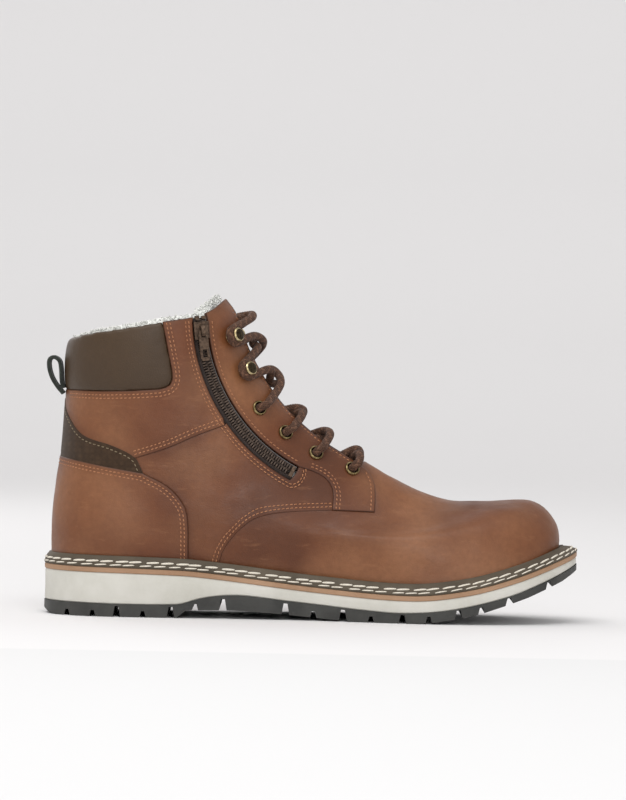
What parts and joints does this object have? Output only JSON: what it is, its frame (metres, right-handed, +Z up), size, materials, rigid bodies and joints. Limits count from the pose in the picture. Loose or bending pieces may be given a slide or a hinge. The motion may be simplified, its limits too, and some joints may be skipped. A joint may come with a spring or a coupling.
{
  "type": "insulated lace-up ankle boot",
  "caption": "Left ankle boot with fleece lining, side zip, padded collar, laced front with eyelets and hooks, stitched welt and lugged rubber sole",
  "frame": {"origin": "On the floor, under the middle of the boot's bounding box", "axes": "+X to the toe, +Y to the outer (lateral) side, +Z up"},
  "size_m": [0.31, 0.1076, 0.185],
  "materials": {
    "brown_leather": "oiled pull-up leather, fine grain, half matt",
    "collar_leather": "smooth soft leather, half matt",
    "backstay_fabric": "brushed matt cloth",
    "fleece": "short-pile fleece",
    "foam": "open-cell foam",
    "stiffener": "moulded stiffener sheet",
    "welt": "matt stitched strip",
    "tan_layer": "matt",
    "midsole": "matt foam rubber",
    "outsole_rubber": "matt",
    "board": "pressed fibre board",
    "shank_steel": "plain steel strip",
    "antique_brass": "antique, worn bright at the edges",
    "lace_cord": "round braid",
    "aglet_plastic": "gloss",
    "zip_tape": "woven tape",
    "zip_metal": "dark lacquered metal",
    "webbing": "woven webbing"
  },
  "bodies": {
    "boot": {"aglet_lateral": "aglet_plastic", "aglet_medial": "aglet_plastic", "backstay": "backstay_fabric", "collar_cover": "collar_leather", "collar_foam": "foam", "counter_stiffener": "stiffener", "eyelet_lateral_1": "antique_brass", "eyelet_lateral_2": "antique_brass", "eyelet_lateral_3": "antique_brass", "eyelet_lateral_4": "antique_brass", "eyelet_medial_1": "antique_brass", "eyelet_medial_2": "antique_brass", "eyelet_medial_3": "antique_brass", "eyelet_medial_4": "antique_brass", "facing_lateral": "brown_leather", "facing_medial": "brown_leather", "footbed": "fleece", "heel_counter_cover": "brown_leather", "insole_board": "board", "lace": "lace_cord", "lace_hook_lateral_1": "antique_brass", "lace_hook_lateral_2": "antique_brass", "lace_hook_medial_1": "antique_brass", "lace_hook_medial_2": "antique_brass", "mid_layer": "tan_layer", "midsole": "midsole", "outsole": "outsole_rubber", "quarter_lateral": "brown_leather", "quarter_lining": "fleece", "quarter_medial": "brown_leather", "rear_quarter_lateral": "brown_leather", "rear_quarter_medial": "brown_leather", "shank": "shank_steel", "toe_puff": "stiffener", "tongue": "brown_leather", "tongue_foam": "foam", "tongue_lining": "fleece", "vamp": "brown_leather", "vamp_lining": "fleece", "welt": "welt", "zip_bottom_stop": "zip_metal", "zip_chain_front": "zip_metal", "zip_chain_rear": "zip_metal", "zip_guard": "zip_tape", "zip_tape_front": "zip_tape", "zip_tape_rear": "zip_tape", "zip_top_stop_front": "zip_metal", "zip_top_stop_rear": "zip_metal"},
    "slider": {"zip_slider": "zip_metal"},
    "pull": {"zip_pull": "zip_metal"},
    "loop": {"heel_loop": "webbing"}
  },
  "joints": [
    {"name": "zip_travel", "type": "hinge", "parent": "boot", "child": "slider", "pos_m": [0.03867, -0.031, 0.17743], "axis": [0.0803, -0.9951, -0.0568], "range_deg": [0, 51.4]},
    {"name": "pull_flap", "type": "hinge", "parent": "slider", "child": "pull", "pos_m": [-0.06451, -0.04191, 0.16495], "axis": [-0.933, -0.3361, -0.1286], "range_deg": [0, 135]},
    {"name": "loop_fold", "type": "hinge", "parent": "boot", "child": "loop", "pos_m": [-0.1456, -0.00191, 0.1274], "axis": [0, -1, 0], "range_deg": [0, 50], "stiffness_Nm_per_rad": 0.02}
  ]
}
